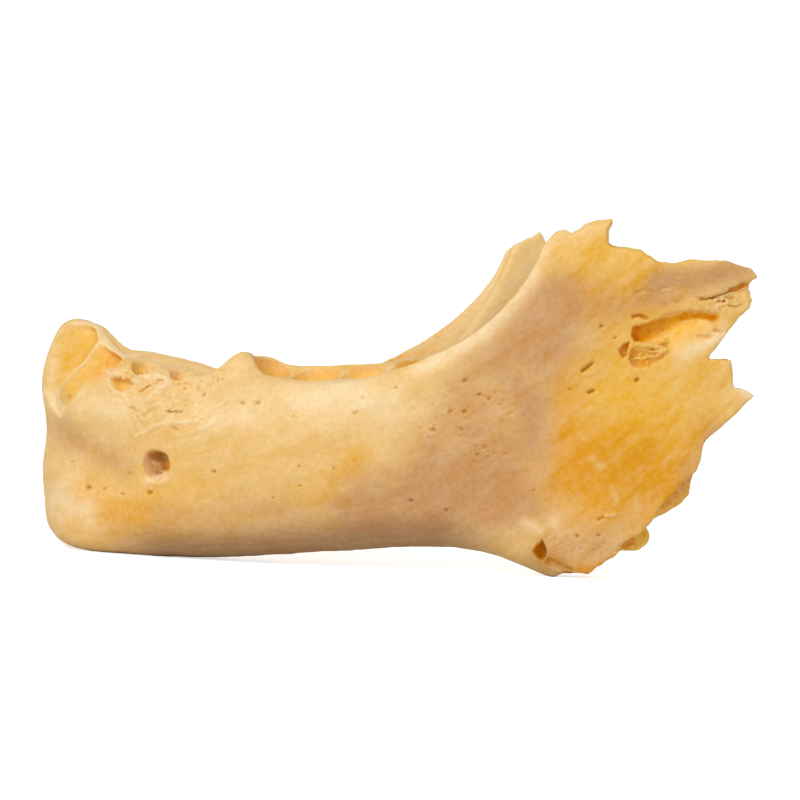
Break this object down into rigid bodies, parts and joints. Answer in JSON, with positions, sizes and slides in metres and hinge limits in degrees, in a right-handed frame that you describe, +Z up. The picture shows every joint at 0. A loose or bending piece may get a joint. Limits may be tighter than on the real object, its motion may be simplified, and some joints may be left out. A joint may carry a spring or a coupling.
{
  "type": "juvenile human mandible",
  "caption": "Dry toothless lower jaw of a child: horseshoe body with open tooth sockets and two broken rami, one natural bone.",
  "frame": {"origin": "on the table, under the middle of the jaw's bounding box", "axes": "+X from the chin towards the broken rami, +Y towards the jaw's right side, +Z up"},
  "size_m": [0.0828, 0.0742, 0.0408],
  "materials": {
    "bone": "dry bone, ivory yellow, satin to matte, browner along the lower border"
  },
  "bodies": {
    "root": {"mandible": "bone"}
  },
  "joints": []
}
